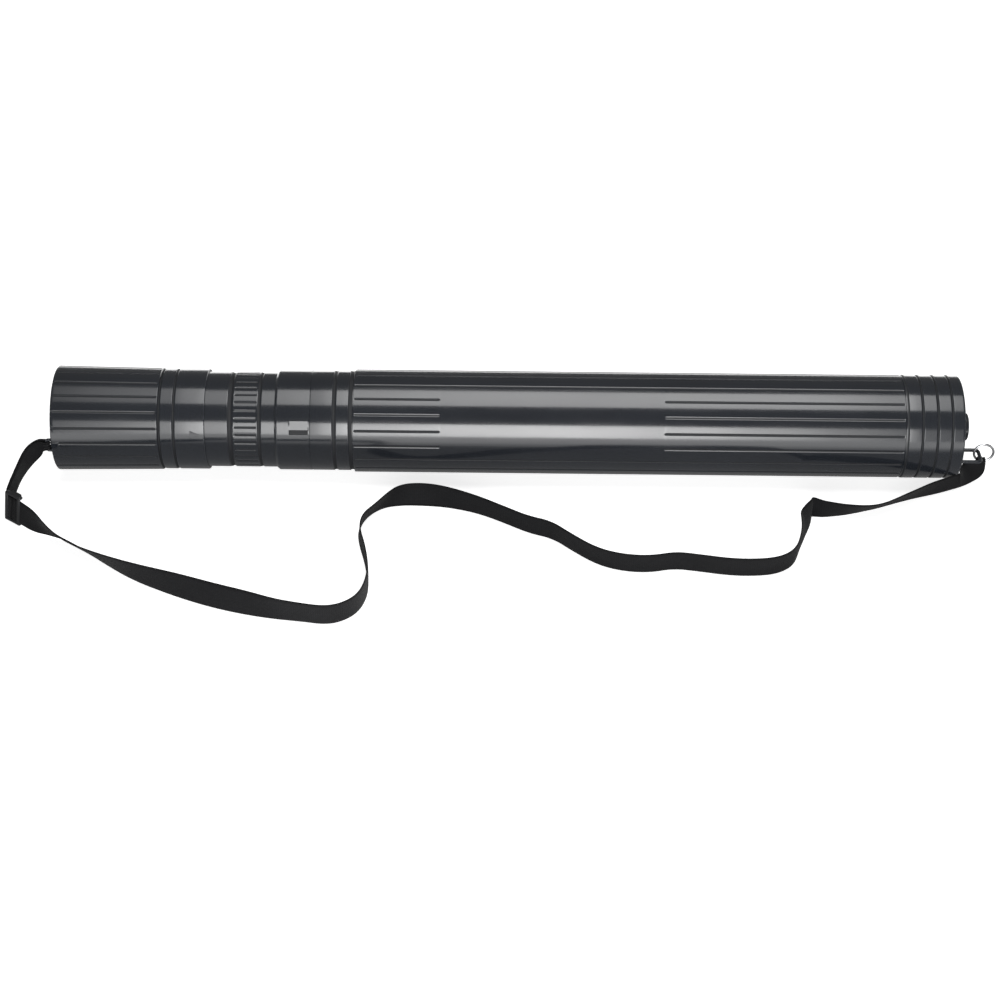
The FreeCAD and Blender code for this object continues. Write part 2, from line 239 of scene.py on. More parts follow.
def attributeSignal(tree, name):
    mark = tree.nodes.new("ShaderNodeAttribute")
    mark.attribute_name = name
    return Signal(tree, mark.outputs["Fac"])


plasticLook = {
    "colour": (0.0150, 0.0172, 0.0216),
    "clouds": (0.86, 1.16),     # darkest and lightest parts of the colour, as shares
    "scuffed": (0.046, 0.049, 0.056),
    "hollow": 0.45,             # painted shade: colour at the bottom of a groove, as a share
    "roughness": 0.17,
    "smudges": (-0.03, 0.07),   # least and most roughness added by handling
    "scuffedRoughness": 0.16,
    "hollowRoughness": 0.5,
    "ior": 1.52,
    "coat": 0.5,
    "coatRoughness": 0.10,
    "pebbleDepth": 0.005 * mm,
    "dieLineDepth": 0.030 * mm,
    "reliefStrength": 0.8,
}


def makePlastic(name, streaks=0.5, grain=1.0, look=plasticLook, **changes):
    look = dict(look, **changes)
    material, tree, shader, place = newMaterial(name, {
        "IOR": look["ior"], "Coat Roughness": look["coatRoughness"],
    })
    wear, hollow = attributeSignal(tree, "wear"), attributeSignal(tree, "hollow")
    cloud = place.noise(9.0, 4.0)
    smudge = (place * (14.0, 38.0, 38.0)).noise(1.0, 5.0, 0.6)
    drawn = (place * (5.0, 620.0, 620.0)).noise(1.0, 2.0, 0.4)      # die lines along the tube
    pebble = place.noise(2300.0, 2.0, 0.5)
    scuff = (place * (160.0, 420.0, 420.0)).noise(1.0, 4.0, 0.7)
    worn = wear * scuff.fit(0.42, 0.72, 0.0, 1.0)
    # deep is painted shade: the darker colour for the bottoms of grooves and other hollows
    darker, lighter, deep = [tuple(c * k for c in look["colour"]) for k in (*look["clouds"], look["hollow"])]
    base = worn.tint(cloud.fit(0.3, 0.7, 0.0, 1.0).tint(darker, lighter), look["scuffed"])
    rough = look["roughness"] + smudge.fit(0.35, 0.75, *look["smudges"])
    rough = rough + worn * look["scuffedRoughness"] + hollow * look["hollowRoughness"]
    relief = pebble.bump(look["pebbleDepth"] * grain, look["reliefStrength"])
    relief = drawn.bump(look["dieLineDepth"] * streaks, look["reliefStrength"], relief)
    # painted shade: hollows get a darker colour, as if shaded; they are also rougher and lose the coat
    Signal.plug(tree, shader.inputs["Base Color"], hollow.tint(base, deep))
    Signal.plug(tree, shader.inputs["Roughness"], rough)
    Signal.plug(tree, shader.inputs["Coat Weight"], look["coat"] * (1.0 - hollow))
    Signal.plug(tree, shader.inputs["Normal"], relief)
    return material


webLook = {
    "colour": (0.0098, 0.0100, 0.0112),
    # painted shade: the darker colour for the weave's low places and its rims
    "shade": (0.0026, 0.0026, 0.003),
    "roughness": (0.62, 0.86),
    "ior": 1.46,
    "specular": 0.18,
    "sheen": 0.05,
    "sheenRoughness": 0.45,
    "yarn": 1.25 * mm,
    "pick": 1.7 * mm,
    "slant": 0.55,              # how far each pick runs back across its yarn, in picks
    "relief": 0.28 * mm,
    "rimAt": 8.5 * mm,          # the woven edge, from the middle
    "rimPaintedShade": 0.7,
}


def makeWeb(name, look=webLook):
    material, tree, shader, place = newMaterial(name, {
        "IOR": look["ior"], "Specular IOR Level": look["specular"],
        "Sheen Weight": look["sheen"], "Sheen Roughness": look["sheenRoughness"],
    })
    web = Signal(tree, tree.nodes.new("ShaderNodeUVMap").outputs[0])
    along, across = web.part(0), web.part(1)
    wobble = (web * 130.0).noise(1.0, 2.0)
    column = across / look["yarn"] + (wobble - 0.5) * 0.16
    side = column.only("FLOOR") % 2.0
    pick = along / look["pick"] + side * 0.5 + (column % 1.0) * (side * 2.0 - 1.0) * look["slant"]
    ridge = ((column % 1.0) * math.pi).only("SINE")
    hump = ((pick % 1.0) * math.pi).only("SINE")
    fibre = (web * (900.0, 5200.0, 1.0)).noise(1.0, 3.0, 0.6)
    patch = (web * (38.0, 60.0, 1.0)).noise(1.0, 3.0)
    rim = (abs(across) / look["rimAt"]).fit(0.86, 1.06, 0.0, 1.0)
    # painted shade: the colour is darker where the weave lies low, between yarns and picks; patch gives the
    # yarns' own uneven tone
    height = (ridge ** 0.6) * (0.35 + 0.65 * (hump ** 0.7)) + fibre * 0.22
    light = (0.25 + 0.75 * height) * patch.fit(0.3, 0.7, 0.72, 1.18)
    base = light.clamped().tint(look["shade"], look["colour"])
    # painted shade: the rims are darker, as if shaded where the edges roll away
    base = (rim * look["rimPaintedShade"]).tint(base, look["shade"])
    Signal.plug(tree, shader.inputs["Base Color"], base)
    Signal.plug(tree, shader.inputs["Roughness"], fibre.fit(0.3, 0.7, *look["roughness"]))
    Signal.plug(tree, shader.inputs["Normal"], height.bump(look["relief"], 0.7))
    return material


wireLook = {
    "colour": (0.72, 0.73, 0.75),
    "dull": (0.42, 0.42, 0.43),
    "roughness": 0.2,
    "scratchDepth": 0.01 * mm,
}


def makeWire(name, look=wireLook):
    material, tree, shader, place = newMaterial(name, {"Metallic": 1.0})
    fine = (place * (900.0, 900.0, 900.0)).noise(1.0, 4.0, 0.6)
    dull = place.noise(240.0, 4.0, 0.6).fit(0.45, 0.75, 0.0, 1.0)
    Signal.plug(tree, shader.inputs["Base Color"], dull.tint(look["colour"], look["dull"]))
    Signal.plug(tree, shader.inputs["Roughness"], look["roughness"] + fine * 0.12 + dull * 0.15)
    Signal.plug(tree, shader.inputs["Normal"], fine.bump(look["scratchDepth"], 0.6))
    return material


web = makeWeb("blackWebbing")
wire = makeWire("brightWire")
tubePlastic = makePlastic("tubePlastic")
mouldedPlastic = makePlastic("mouldedPlastic", streaks=0.12, grain=1.5)
innerPlastic = makePlastic("innerTubePlastic", streaks=0.3)
sliderPlastic = makePlastic("sliderPlastic", streaks=0.0, grain=2.5, colour=(0.013, 0.0135, 0.015),
                            roughness=0.34, coat=0.1)
print("stage: materials ready")


strap = {
    "width": 20.0,
    "thickness": 1.3,
    "ground": 0.3,              # lowest edge above the ground
    "detail": 14,               # points for each row of the run
    "splitAt": -12.0,           # x where the right part ends and the left part starts
    "sliderAt": (-405.7, -87.5, 12.9),
    "turnReach": 2.2,           # half the room that the turn round the lug takes
    "turnCount": 14,
    "cups": ((0.22, 37.0, 0.0), (0.14, 91.0, 1.0)),     # depth, rate per metre and phase
    "cupEnds": (-372.0, 30.0),  # x where the cup has gone, and the length over which it goes
    "foldsFrom": 19.0,          # width below which the webbing gathers into folds
    "lugFolds": (11.0, 0.6),    # narrowing that brings the full folds, and their depth
    "ringFolds": (10.0, 0.5),
}

# the run on the ground: x and y of the webbing's middle line in millimetres, and its lean from
# upright towards the left of travel in degrees
groundRun = [
    (360.0, -33.3, 14), (350.0, -38.2, 16), (339.0, -43.0, 20), (328.0, -48.2, 28),
    (318.0, -53.2, 33), (307.5, -58.6, 38), (297.0, -64.0, 42), (286.5, -67.8, 42),
    (276.0, -70.9, 35), (264.0, -73.0, 25), (250.0, -73.1, 12), (244.5, -71.3, 6),
    (239.6, -69.6, 0), (238.6, -73.5, -4), (234.6, -81.5, -17), (231.4, -88.5, -22),
    (229.8, -96.0, -13), (228.4, -104.0, -5), (225.6, -115.0, 3), (219.8, -134.4, 5),
    (209.7, -144.7, 8), (195.2, -150.0, 9), (169.9, -151.1, 9), (142.1, -145.5, 9),
    (124.1, -142.6, 9), (104.6, -148.1, 9), (83.6, -146.5, 9), (63.2, -138.3, 9), (44.0, -121.0, 8),
    (28.2, -104.2, 8), (9.4, -97.7, 8), (-10.7, -84.7, 8), (-32.5, -71.0, 6), (-55.2, -61.8, -4),
    (-76.0, -57.6, -18), (-94.0, -58.8, -8), (-108.0, -67.0, 20), (-119.0, -81.0, 28),
    (-125.4, -98.0, 12), (-125.0, -116.0, 0), (-119.4, -138.0, 0), (-115.8, -160.0, 0),
    (-115.4, -180.0, 0), (-121.0, -200.0, 3), (-133.0, -211.5, 5), (-146.0, -215.2, 5),
    (-164.1, -211.9, 5), (-185.9, -207.7, -2), (-208.2, -200.5, -18), (-232.7, -192.0, -22),
    (-256.7, -182.2, -18), (-279.7, -172.9, -4), (-300.7, -163.0, 8), (-322.5, -149.3, 26),
    (-344.0, -133.4, 41),
]
# the climb through the slider to the lid's lug: x and y, height of the lower edge, lean, width and
# shift out of the face
lugClimb = [
    (-361.2, -119.9, 0.4, 44, 20, 0), (-374.8, -111.6, 1.0, 22, 20, -0.3),
    (-387.0, -102.7, 1.4, -9, 20, -0.74), (-397.5, -94.1, 2.3, -13, 20, -0.74),
    (-405.7, -87.5, 2.65, -12, 20, -0.74), (-410.2, -82.2, 2.9, -10, 20, -0.74),
    (-411.6, -76.5, 3.5, -6, 20, -0.74), (-410.8, -69.5, 5.2, -4, 20, -0.74),
    (-409.4, -62.0, 8.6, -6, 20, -0.74), (-407.0, -54.5, 13.4, -11, 19.6, -0.74),
    (-403.5, -48.6, 19.0, -13, 18.8, -0.76), (-399.3, -44.2, 25.0, -9, 17.2, -0.8),
    (-394.6, -41.4, 30.8, -2, 15.0, -0.95), (-389.8, -40.3, 35.8, 0, 12.0, -1.3),
    (-386.3, -40.3, 38.3, 0, 9.0, -1.8), (-383.0, -40.5, 39.3, 0, 7.5, -2.2),
]
longRun = [(x, y, 0, lean, strap["width"], 0) for x, y, lean in groundRun] + lugClimb


def splinePoints(rows, detail):
    curve = bpy.data.curves.new("route", "CURVE")
    curve.dimensions = "3D"
    spline = curve.splines.new("NURBS")
    spline.points.add(len(rows) - 1)
    for point, row in zip(spline.points, rows):
        point.co = (*row, 1.0)
    spline.order_u = 3
    spline.use_endpoint_u = True
    spline.resolution_u = detail
    curve.resolution_u = detail
    holder = bpy.data.objects.new("route", curve)
    mesh = bpy.data.meshes.new_from_object(holder)
    points = np.array([v.co[:] for v in mesh.vertices])
    bpy.data.objects.remove(holder)
    bpy.data.curves.remove(curve)
    bpy.data.meshes.remove(mesh)
    return points


def routeSamples(rows, detail):
    # the middle line, and beside it the lean, width and shift that belong to each of its points
    line, shape = [], []
    for x, y, low, lean, width, shift in rows:
        a = math.radians(lean)
        rise = 0.5 * width * math.cos(a) + 0.5 * strap["thickness"] * abs(math.sin(a))
        line.append((x * mm, y * mm, (strap["ground"] + low + rise) * mm))
        shape.append((lean, width, low))
    shift = splinePoints([(row[5], 0, 0) for row in rows], detail)[:, 0]
    return splinePoints(line, detail), splinePoints(shape, detail), shift


def gatherFolds(width, narrowing, depth):
    return smoothStep((strap["foldsFrom"] * mm - width) / (narrowing * mm)) * depth * mm


def unit(vectors):
    return vectors / np.linalg.norm(vectors, axis=-1, keepdims=True)


def webSection(count=9, square=14):
    # outline of the webbing's section: place across from -1 to 1 and place through from -1 to 1
    across = np.sin(np.linspace(-math.pi / 2, math.pi / 2, count))
    through = np.sqrt(1 - np.abs(across) ** square)
    return (np.concatenate([across, across[-2:0:-1]]), np.concatenate([through, -through[-2:0:-1]]))


def webPiece(name, middle, widthWay, faceWay, width, start=0.0, cup=None, folds=None):
    # a ribbon from lines of middle points, directions across it and out of its face, in metres
    across, through = webSection()
    run = np.concatenate([[0.0], np.cumsum(np.linalg.norm(np.diff(middle, axis=0), axis=1))]) + start
    half = 0.5 * width[:, None] * across
    thick = 0.5 * strap["thickness"] * mm * through
    out = np.broadcast_to(thick, half.shape).copy()
    if cup is not None:
        out += cup[:, None] * (across ** 2 - 0.4)
    if folds is not None:
        out += folds[:, None] * np.cos(across * 3.0 * math.pi)
    points = (middle[:, None, :] + half[:, :, None] * widthWay[:, None, :]
              + out[:, :, None] * faceWay[:, None, :])
    uv = np.stack([np.broadcast_to(run[:, None], half.shape),
                   np.broadcast_to(across * 0.5 * strap["width"] * mm, half.shape)], axis=-1)
    rows, columns = half.shape
    faces = gridFaces(rows, columns, False, True)
    faces += [tuple(range(columns)), tuple(range((rows - 1) * columns, rows * columns))]
    return addPiece(name, points.reshape(-1, 3), faces, uv.reshape(-1, 2), sharp=70.0, weld=False)


def standingFrames(middle, shape, shift):
    tangent = unit(np.gradient(middle, axis=0))
    flat = unit(tangent * (1.0, 1.0, 0.0))
    left = np.stack([-flat[:, 1], flat[:, 0], np.zeros(len(flat))], axis=1)
    upright = unit(np.cross(tangent, left))
    lean = np.radians(shape[:, 0])[:, None]
    widthWay = np.cos(lean) * upright + np.sin(lean) * left
    faceWay = np.cos(lean) * left - np.sin(lean) * upright
    width = shape[:, 1] * mm
    placed = middle + shift[:, None] * mm * faceWay
    edge = 0.5 * width * np.abs(widthWay[:, 2]) + 0.5 * strap["thickness"] * mm * np.abs(faceWay[:, 2])
    lowest = placed[:, 2] - edge
    wanted = (strap["ground"] + shape[:, 2]) * mm
    placed[:, 2] += wanted - lowest
    return placed, widthWay, faceWay, width


middle, shape, shift = routeSamples(longRun, strap["detail"])
placed, widthWay, faceWay, width = standingFrames(middle, shape, shift)
runLength = np.concatenate([[0.0], np.cumsum(np.linalg.norm(np.diff(placed, axis=0), axis=1))])
split = int(np.argmin(np.abs(middle[:, 0] - strap["splitAt"] * mm)))
cup = sum(depth * mm * np.sin(runLength * rate + phase) for depth, rate, phase in strap["cups"])

strapRight = webPiece("strapRight", placed[:split + 1], widthWay[:split + 1], faceWay[:split + 1],
                      width[:split + 1], 0.0, cup[:split + 1])

# the left part goes on through the slider to the lid's lug, round its bar, and back to the slider
turnCount, turnReach = strap["turnCount"], strap["turnReach"] * mm
angles = np.linspace(0.0, math.pi, turnCount + 2)[1:-1]
endLeft, endWay = faceWay[-1], unit(np.gradient(middle, axis=0))[-1]
centre = placed[-1] + endLeft * turnReach
turnMiddle = centre + turnReach * (-np.cos(angles)[:, None] * endLeft + np.sin(angles)[:, None] * endWay)
turnFace = np.cos(angles)[:, None] * endLeft - np.sin(angles)[:, None] * endWay
returnFrom = int(np.argmin(np.linalg.norm(middle - np.array(strap["sliderAt"]) * mm, axis=1)))
back = np.arange(len(middle) - 1, returnFrom, -1)
backPlaced = placed[back] - 2.0 * shift[back, None] * mm * faceWay[back]
leftMiddle = np.concatenate([placed[split:], turnMiddle, backPlaced])
leftWide = np.concatenate([widthWay[split:], np.repeat(widthWay[-1:], turnCount, axis=0), widthWay[back]])
leftFace = np.concatenate([faceWay[split:], turnFace, -faceWay[back]])
leftWidth = np.concatenate([width[split:], np.repeat(width[-1:], turnCount), width[back]])
cupGone, cupOver = strap["cupEnds"]
leftCup = cup[split:] * smoothStep((middle[split:, 0] - cupGone * mm) / (cupOver * mm))
leftCup = np.concatenate([leftCup, np.zeros(turnCount + len(back))])
strapLeft = webPiece("strapLeft", leftMiddle, leftWide, leftFace, leftWidth, runLength[split],
                     leftCup, gatherFolds(leftWidth, *strap["lugFolds"]))

# sewn end round the ring: its right and left edges from the cut end, over the ring's wire and down
# to the ground
endEdges = [
    ((388.2, -16.9, 9.0), (380.6, -16.9, 9.5)),
    ((388.2, -16.3, 14.5), (380.6, -16.3, 15.5)),
    ((388.2, -15.9, 20.0), (380.8, -15.9, 21.2)),
    ((388.2, -16.3, 23.8), (381.0, -16.3, 25.0)),
    ((388.2, -19.6, 23.4), (380.6, -19.6, 24.6)),
    ((388.4, -20.9, 19.0), (378.4, -21.2, 23.6)),
    ((388.1, -21.0, 12.5), (373.8, -22.0, 23.8)),
    ((385.9, -21.2, 7.6), (369.8, -23.4, 23.6)),
    ((381.4, -21.8, 4.2), (366.8, -26.6, 23.4)),
    ((375.0, -24.2, 1.7), (364.7, -31.6, 23.2)),
    ((368.7, -27.0, 0.8), (364.0, -36.8, 21.6)),
]
endJoin = {
    "row": 8,               # the long part's row that gives the direction of the join
    "overlap": 5.0,         # straight length before the join
    "detail": 10,
}


def makeStrapEnd():
    # its last rows run on along the long part's first ones
    inner, first = [np.array([placed[i] + widthWay[i] * width[i] * side for side in (-0.5, 0.5)]) / mm
                    for i in (endJoin["row"], 0)]
    step = unit(first - inner) * endJoin["overlap"]
    rows = np.concatenate([np.array(endEdges), [first + step, first]]) * mm
    right, left = [splinePoints([tuple(spot) for spot in rows[:, k]], endJoin["detail"]) for k in (0, 1)]
    centreLine = (right + left) / 2
    across = left - right
    span = np.linalg.norm(across, axis=1)
    wide = unit(across)
    out = unit(np.cross(wide, unit(np.gradient(centreLine, axis=0))))
    run = np.cumsum(np.linalg.norm(np.diff(centreLine, axis=0), axis=1))
    return webPiece("strapEnd", centreLine, wide, out, span, -run[-1], None,
                    gatherFolds(span, *strap["ringFolds"]))


strapEnd = makeStrapEnd()
placePiece(strapRight, None, "webbing", web, "strap_webbing")
placePiece(strapLeft, None, "webbing", web, "strap_slider_loop")
placePiece(strapEnd, None, "webbing", web, "strap_end_loop")
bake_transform(strapRight)
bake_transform(strapLeft)
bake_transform(strapEnd)
print("stage: strap made")


axisHeight = (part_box("lid")[0][2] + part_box("lid")[1][2]) / 2
tubeMouth = 40.0                # the inner tube's mouth, from the lid's closed face
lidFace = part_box("inner_tube")[0][0] - tubeMouth * mm      # station 0

flutes = {
    "count": 20,
    "phase": 4.0,
    "depth": 0.46,
    "halfAngle": 1.75,
    "ramp": 1.6,
}
ribs = {
    "count": 36,
    "phase": 4.0,
    "depth": 0.42,
    "halfAngle": 1.5,
}
turning = {
    "cornerShare": 0.45,        # most of a side that one rounding may take
    "hold": 1.35,               # a row this many roundings from each corner keeps the flat flat
    "holdShare": 0.48,          # unless it would take more of the side than this
    "hollowFrom": 0.05,         # depth under the plain outside where a surface starts to count as hollow and takes the painted shade
    "hollowOver": 0.28,
}
rampMarks = (-0.7, -0.5, -0.3, -0.15, 0.0, 0.15, 0.3, 0.5, 0.7)
plainAngles = np.arange(0, 360, 2.5)


def fluteDepth(angle, pattern):
    pitch = 360.0 / pattern["count"]
    off = (angle - pattern["phase"] + pitch / 2) % pitch - pitch / 2
    return pattern["depth"] * (1.0 - smoothStep(np.abs(off) / pattern["halfAngle"]))


def between(value, low, high, ramp):
    return smoothStep((value - low) / ramp + 0.5) * smoothStep((high - value) / ramp + 0.5)


def aroundAngles(pattern, extra=(), fill=3, half=6):
    # close marks over each flute, half of them on each side of its middle, and a few between the flutes
    pitch = 360.0 / pattern["count"]
    reach = 1.2 * pattern["halfAngle"]
    middles = [pattern["phase"] + k * pitch for k in range(pattern["count"])]
    marks = [middle + reach * t / half for middle in middles for t in range(-half, half + 1)]
    room = pitch - 2 * reach
    marks += [middle + reach + room * (i + 1) / (fill + 1) for middle in middles for i in range(fill)]
    return np.unique(np.round(np.array(marks + list(extra)) % 360.0, 3))


def turnedRows(corners, steps=4):
    # corners go round the closed outline: station, radius, rounding and whether it is the outer skin
    rows = []
    count = len(corners)
    for i, (station, radius, rounding, skin) in enumerate(corners):
        here = np.array([station, radius], float)
        before = np.array(corners[i - 1][:2], float) - here
        after = np.array(corners[(i + 1) % count][:2], float) - here
        if rounding <= 0:
            rows.append((station, radius, skin, 0.0))
            continue
        a, b = np.linalg.norm(before), np.linalg.norm(after)
        reach = min(rounding, turning["cornerShare"] * a, turning["cornerShare"] * b)
        wayBack, wayOn = before / a, after / b
        hold = reach * turning["hold"]
        if hold >= turning["holdShare"] * min(a, b):
            hold = reach
        rows.append((*(here + wayBack * hold), skin, 0.0))
        for k in range(steps + 1):
            t = k / steps
            spot = here + reach * ((1 - t) ** 2 * wayBack + t * t * wayOn)
            rows.append((*spot, skin, math.sin(math.pi * t)))
        rows.append((*(here + wayOn * hold), skin, 0.0))
    return np.array(rows)


def vGroove(start, end, outside, depth, floor=0.35, rounding=0.25):
    # a groove with sloping sides, its floor a share of its width
    room = (end - start) * (1 - floor) / 2
    low = outside - depth
    return [(start, outside, rounding, 1), (start + room, low, rounding, 1),
            (end - room, low, rounding, 1), (end, outside, rounding, 1)]


def turnedPiece(name, body, material, node, corners, angles, relief, surface, steps=4, sharp=38.0):
    # surface gives the plain outside's radius at a station: what lies well below it is marked as hollow, and
    # the material paints it darker there as painted shade
    rows = turnedRows(corners, steps)
    stations, radii, skin, wear = (rows[:, k][:, None] for k in range(4))
    around = angles[None, :]
    depth = np.zeros((len(rows), len(angles)))
    if relief is not None:
        depth = relief(stations, around) * skin
    radius = radii - depth
    a = np.radians(around)
    points = np.stack([
        lidFace + (stations + 0 * a) * mm,
        -radius * np.cos(a) * mm,
        axisHeight + radius * np.sin(a) * mm,
    ], axis=-1)
    faces = gridFaces(len(rows), len(angles), True, True)
    sunk = surface(stations) - radius - turning["hollowFrom"]
    hollow = np.clip(sunk / turning["hollowOver"], 0.0, 1.0) * skin
    marks = (wear + 0 * a) * skin * (1.0 - hollow)
    piece = addPiece(name, points.reshape(-1, 3), faces, None, marks.ravel(), hollow.ravel(), sharp)
    placePiece(piece, body, "tube_plastic", material, node)


def plainBetween(low, high, radius):
    # the plain outside of a piece that is one cylinder between two stations
    return lambda station: np.where((station > low) & (station < high), radius, 0.0)


def stationRun(marks, radius):
    return [(s, radius, 0.0, 1.0) for s in marks]


outerTube = {
    "start": 245.3,
    "radius": 42.5,
    "bore": 40.6,
    "panelStart": 315.7,
    "panelEnd": 499.0,
    "panelMiddle": 31.0,
    "panelHalf": 44.0,
    "panelDish": 0.06,
    "fluteStart": 246.5,
    "fluteEnd": 693.3,
    "plainRuns": ((265, 300, 3), (340, 480, 8), (520, 680, 9)),      # start, end and rows
    "shoulder": 694.1,
    "tailRadius": 41.6,
    "end": 739.7,
}


def makeOuterTube():
    t = outerTube
    ramp = flutes["ramp"]

    def relief(station, angle):
        whole = between(station, t["fluteStart"], t["fluteEnd"], ramp)
        off = np.abs((angle - t["panelMiddle"] + 90.0) % 180.0 - 90.0)
        inPanel = (off < t["panelHalf"]) * between(station, t["panelStart"], t["panelEnd"], ramp)
        return fluteDepth(angle, flutes) * whole * (1.0 - inPanel) + t["panelDish"] * inPanel

    marks = []
    for middle in (t["fluteStart"], t["panelStart"], t["panelEnd"], t["fluteEnd"]):
        marks += [middle + ramp * k for k in rampMarks]
    for run in t["plainRuns"]:
        marks += list(np.linspace(*run))
    marks = sorted(m for m in marks if t["start"] + 0.6 < m < t["shoulder"] - 0.3)
    corners = [(t["start"], t["bore"], 0.3, 0), (t["start"], t["radius"], 0.5, 1)]
    corners += stationRun(marks, t["radius"])
    corners += [(t["shoulder"], t["radius"], 0.4, 1), (t["shoulder"], t["tailRadius"], 0.2, 0),
                (t["end"], t["tailRadius"], 0.3, 0), (t["end"], t["bore"], 0.3, 0)]
    surface = plainBetween(t["start"] + 1.0, t["shoulder"] - 1.0, t["radius"])
    angles = aroundAngles(flutes)
    turnedPiece("outerTube", "outer", tubePlastic, "outer_tube", corners, angles, relief, surface)


lid = {
    "endRadius": 43.2,
    "gripRadius": 42.0,
    "gripEnd": 86.4,
    "fluteSpan": (-9.0, 85.4),
    "bandRadius": 41.4,
    "bore": 39.7,
    "mouth": 124.95,
    "wide": (2.5, 87.0, 40.0),      # start, end and radius of the inside behind the seat
    "seatStart": 88.2,
    "grooves": ((86.6, 89.0, 0.9), (98.4, 101.0, 0.8)),      # start, end and depth
    "recess": (31.4, 30.0, 0.7),    # outer and inner radius and depth of the closed face's dish
    "tabAngle": 0.5,
    "tabHalfAngle": 5.4,
    "tabLength": 6.6,
    "tabHeight": 0.9,
}


def makeLid():
    t = lid
    wideStart, wideEnd, wideRadius = t["wide"]
    slope = (t["gripRadius"] - t["endRadius"]) / wideEnd

    def relief(station, angle):
        deep = fluteDepth(angle, flutes) * between(station, *t["fluteSpan"], flutes["ramp"])
        off = (angle + 180.0) % 360.0 - 180.0 - t["tabAngle"]
        tab = smoothStep((t["tabHalfAngle"] - np.abs(off)) / 0.9)
        tab = tab * smoothStep((t["tabLength"] - station) / 1.1)
        return deep * (1.0 - tab) - t["tabHeight"] * tab

    def surface(station):
        grip = np.where(station > 2.0, t["endRadius"] + slope * station, 0.0)
        rest = np.where(station < t["mouth"] - 1.5, t["bandRadius"], 0.0)
        return np.where(station < t["gripEnd"], grip, rest)

    end, band = t["endRadius"], t["bandRadius"]
    dishOutside, dishInside, dish = t["recess"]
    marks = [3.0, 4.2, 5.0, 5.6, 6.2, 6.8, 7.6, 12, 24, 40, 56, 70, 80, 83.6, 84.2, 84.8, 85.4, 85.9]
    corners = [(dish, 0.0, 0.0, 0), (dish, dishInside, 0.5, 0), (0.0, dishOutside, 0.5, 0),
               (0.0, end, 1.3, 1)]
    corners += [(s, end + slope * s, 0.0, 1.0) for s in marks]
    corners += [(t["gripEnd"], t["gripRadius"], 0.35, 1)]
    first, second = t["grooves"]
    corners += vGroove(first[0], first[1], band, first[2])[1:]
    corners += vGroove(second[0], second[1], band, second[2])
    corners += [
        (t["mouth"], band, 0.9, 1), (t["mouth"], t["bore"], 0.4, 0), (t["seatStart"], t["bore"], 0.2, 0),
        (wideEnd, wideRadius, 0.2, 0), (wideStart, wideRadius, 0.4, 0), (wideStart, 0.0, 0.0, 0),
    ]
    tabAngles = [-7.0, -6.4, -5.9, -5.4, -5.0, -4.6, -4.2, -3.4, 5.0, 5.3, 5.6, 6.0, 6.6, 7.2]
    angles = aroundAngles(flutes, tabAngles)
    turnedPiece("lidShell", "lid", mouldedPlastic, "lid", corners, angles, relief, surface)


innerTube = {
    "start": tubeMouth,
    "radius": 39.4,
    "bore": 37.6,
    "firstLock": 145.5,
    "pitch": 52.0,
    "pitches": 11,
    "lockWidth": 4.8,
    "lockDepth": 1.0,
    "ribStart": 2.7,                      # a ribbed band's start and end, from its lock groove
    "ribEnd": 21.8,
    "bands": (140.0, 728.0),              # no band lies outside these
    "grooveWidth": 3.4,
    "grooveDepth": 0.7,
    "channels": (124.0, 304.0),
    "channelHalf": 8.2,
    "flange": (731.3, 735.3, 40.35),      # start, end and radius
}


def makeInnerTube():
    t = innerTube
    outside = t["radius"]
    bandsStart, bandsEnd = t["bands"]
    corners = [(t["start"], t["bore"], 0.3, 0), (t["start"], outside, 0.5, 1)]
    for k in range(t["pitches"]):
        lock = t["firstLock"] + t["pitch"] * k
        half = t["lockWidth"] / 2
        corners += vGroove(lock - half, lock + half, outside, t["lockDepth"], 0.3)
        if lock + t["ribEnd"] + t["grooveWidth"] > bandsEnd:
            break
        corners += stationRun([lock + t["ribStart"] + d for d in (0.3, 0.9, 1.5)], outside)
        corners += stationRun([lock + t["ribEnd"] - d for d in (1.5, 0.9, 0.3)], outside)
        rim = lock + t["ribEnd"] + 0.1
        corners += vGroove(rim, rim + t["grooveWidth"], outside, t["grooveDepth"], 0.3)
    first, last, wide = t["flange"]
    corners += [(first, outside, 0.2, 1), (first, wide, 0.3, 0), (last, wide, 0.3, 0),
                (last, t["bore"], 0.3, 0)]

    def relief(station, angle):
        place = (station - t["firstLock"]) % t["pitch"]
        inBand = smoothStep((place - t["ribStart"]) / 1.0) * smoothStep((t["ribEnd"] - place) / 1.0)
        inBand = inBand * (station > bandsStart) * (station < bandsEnd)
        channel = 0.0
        for middle in t["channels"]:
            off = np.abs((angle - middle + 180.0) % 360.0 - 180.0)
            channel = channel + smoothStep((t["channelHalf"] - off) / 0.5)
        return np.maximum(fluteDepth(angle, ribs) * inBand, channel * t["lockDepth"] * (station < first))

    extra = [m + s * d for m in t["channels"] for s in (-1, 1) for d in (7.5, 7.8, 8.0, 8.3)]
    surface = plainBetween(t["start"] + 1.0, first - 1.0, outside)
    angles = aroundAngles(ribs, extra, 1, 2)
    turnedPiece("innerTube", "inner", innerPlastic, "inner_tube", corners, angles, relief, surface, 1)


lockRing = {
    "start": 183.4,
    "lipStart": 181.6,
    "end": 210.0,
    "radius": 41.3,
    "bore": 39.6,
    "seat": 40.5,
    "seatStart": 201.5,
    "facetStart": 193.6,
    "facetLow": 22.0,
    "facetHigh": 32.2,
    "facetSink": 0.2,
    "facetRise": 0.6,
    "slotLow": 16.2,
    "slotDepth": 0.55,
}


